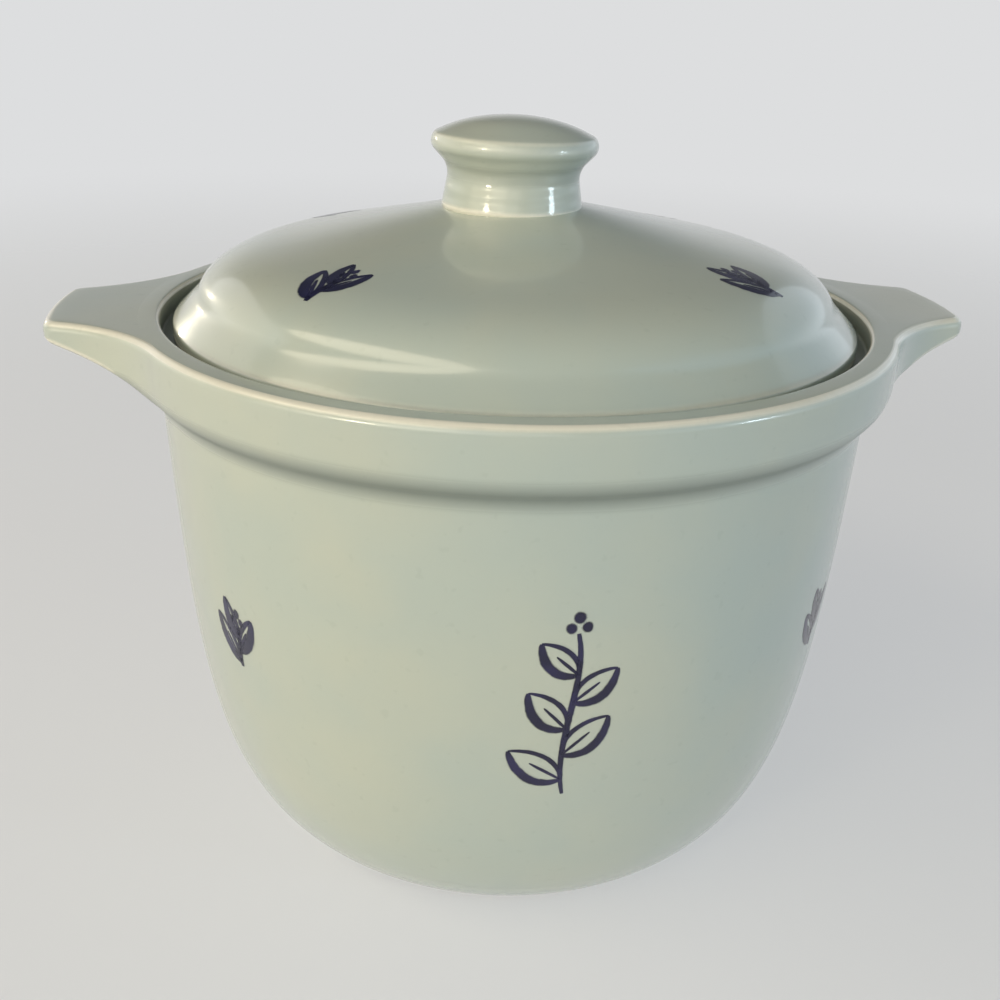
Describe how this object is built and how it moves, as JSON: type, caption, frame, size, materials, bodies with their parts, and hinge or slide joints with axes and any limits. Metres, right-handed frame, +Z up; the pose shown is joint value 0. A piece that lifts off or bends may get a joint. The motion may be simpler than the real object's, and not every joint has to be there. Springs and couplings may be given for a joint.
{
  "type": "lidded bean pot",
  "caption": "Round stoneware bean pot with two flat lug handles on its rim band and a low domed lift-off lid with a mushroom knob, seated in an inner gallery.",
  "frame": {"origin": "middle of the foot ring, on the surface the pot stands on", "axes": "+Z up through the mouth, +X along the two lug handles towards the right lug, +Y to the back"},
  "size_m": [0.2146, 0.1776, 0.173],
  "materials": {
    "glaze": "glossy pale celadon glaze with cobalt brushwork, foot ring left bare"
  },
  "bodies": {
    "pot": {"pot_body": "glaze", "handle_left": "glaze", "handle_right": "glaze"},
    "lid": {"lid": "glaze", "knob": "glaze"}
  },
  "joints": [
    {"name": "lid_lift", "type": "slide", "parent": "pot", "child": "lid", "axis": [0, 0, 1], "range_m": [0, 0.1]}
  ]
}
